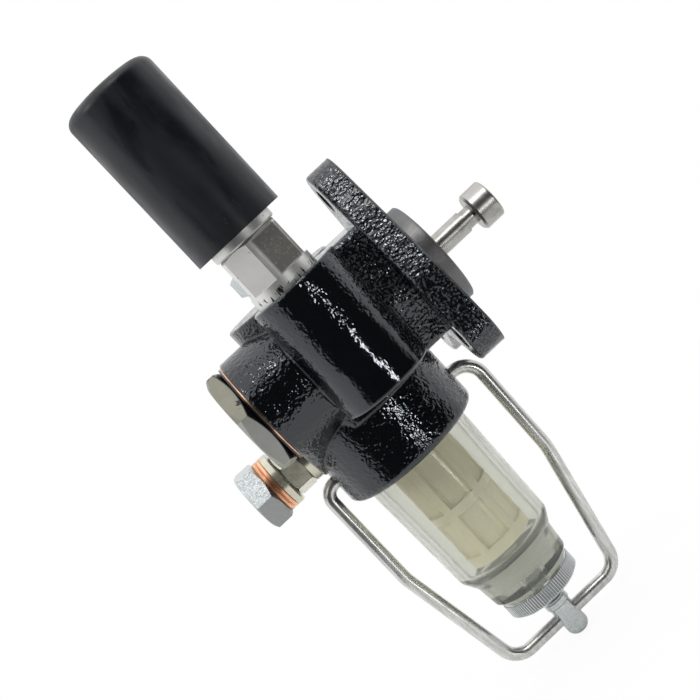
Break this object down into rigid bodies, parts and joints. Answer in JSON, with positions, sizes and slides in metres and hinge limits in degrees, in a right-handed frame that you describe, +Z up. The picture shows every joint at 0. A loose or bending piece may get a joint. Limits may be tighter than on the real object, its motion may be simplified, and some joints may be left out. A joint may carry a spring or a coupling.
{
  "type": "fuel feed pump",
  "caption": "Flange-mounted piston fuel feed pump with a push rod, a hand primer on top and a glass sediment bowl held by a wire bail.",
  "frame": {"origin": "centre of the flange spigot, on the flange's mounting face", "axes": "+X out along the push rod towards the engine's injection pump, +Z up along the hand primer, +Y away from the primer to the side of the outlet"},
  "size_m": [0.1244, 0.0797, 0.2374],
  "materials": {
    "black_casting": "gloss black paint over a rough iron casting, machined faces bare",
    "polished_steel": "ground and polished",
    "bearing_bronze": "turned bronze",
    "black_rubber": "moulded oil-proof rubber",
    "spring_steel": "oiled spring wire",
    "dull_zinc": "dull zinc plate, handled",
    "bright_zinc": "bright bluish zinc plate",
    "copper": "soft copper, slightly dulled",
    "matt_aluminium": "matt grey, finely pitted",
    "knob_black": "satin black with light scuffs",
    "clear_glass": "thick pressed glass with a faint yellow tint",
    "strainer_plastic": "cream nylon",
    "strainer_gauze": "fine woven nylon",
    "wire_steel": "dull zinc-plated wire"
  },
  "bodies": {
    "pump": {"pump_housing": "black_casting", "rod_guide": "bearing_bronze", "rod_seal": "black_rubber", "piston_spring": "spring_steel", "screw_plug": "dull_zinc", "plug_washer": "copper", "inlet_valve_spring": "spring_steel", "outlet_valve_spring": "spring_steel", "outlet_plug": "dull_zinc", "outlet_plug_washer": "copper", "primer_washer": "matt_aluminium", "primer_base": "matt_aluminium", "primer_barrel": "matt_aluminium", "primer_gland": "matt_aluminium", "inlet_adapter": "dull_zinc", "inlet_washer_inner": "copper", "inlet_washer_outer": "copper", "inlet_screw": "bright_zinc", "bowl_gasket": "black_rubber", "glass_bowl": "clear_glass", "strainer_spigot": "strainer_plastic", "strainer_frame": "strainer_plastic", "strainer_gauze": "strainer_gauze", "clamp_stud": "bright_zinc", "bail_wire": "wire_steel"},
    "tappet": {"push_rod": "polished_steel"},
    "piston": {"feed_piston": "polished_steel"},
    "suction_valve": {"inlet_valve": "polished_steel"},
    "pressure_valve": {"outlet_valve": "polished_steel"},
    "plunger": {"primer_piston": "polished_steel", "primer_seal": "black_rubber"},
    "knob": {"primer_knob": "knob_black", "primer_rod": "polished_steel"},
    "nut": {"clamp_nut": "bright_zinc"}
  },
  "joints": [
    {"name": "rod_push", "type": "slide", "parent": "pump", "child": "tappet", "axis": [-1, 0, 0], "range_m": [0, 0.008], "stiffness_N_per_m": 1500, "springref_m": -0.004},
    {"name": "piston_stroke", "type": "slide", "parent": "pump", "child": "piston", "axis": [-1, 0, 0], "range_m": [0, 0.008], "deforming": ["piston_spring"]},
    {"name": "inlet_valve_lift", "type": "slide", "parent": "pump", "child": "suction_valve", "axis": [0, 0, 1], "range_m": [0, 0.0015], "stiffness_N_per_m": 80, "springref_m": -0.003, "deforming": ["inlet_valve_spring"]},
    {"name": "outlet_valve_lift", "type": "slide", "parent": "pump", "child": "pressure_valve", "axis": [0, 0, 1], "range_m": [0, 0.0015], "stiffness_N_per_m": 80, "springref_m": -0.003, "deforming": ["outlet_valve_spring"]},
    {"name": "primer_pull", "type": "slide", "parent": "pump", "child": "plunger", "axis": [0, 0, 1], "range_m": [0, 0.03]},
    {"name": "knob_turn", "type": "hinge", "parent": "plunger", "child": "knob", "pos_m": [-0.0372, -0.02, 0.08], "axis": [0, 0, 1], "continuous": true},
    {"name": "nut_turn", "type": "hinge", "parent": "pump", "child": "nut", "pos_m": [-0.0428, 0.0168, -0.11], "axis": [0, 0, 1], "continuous": true}
  ],
  "couplings": [
    {"joint": "piston_stroke", "follows": "rod_push", "ratio": 1}
  ]
}
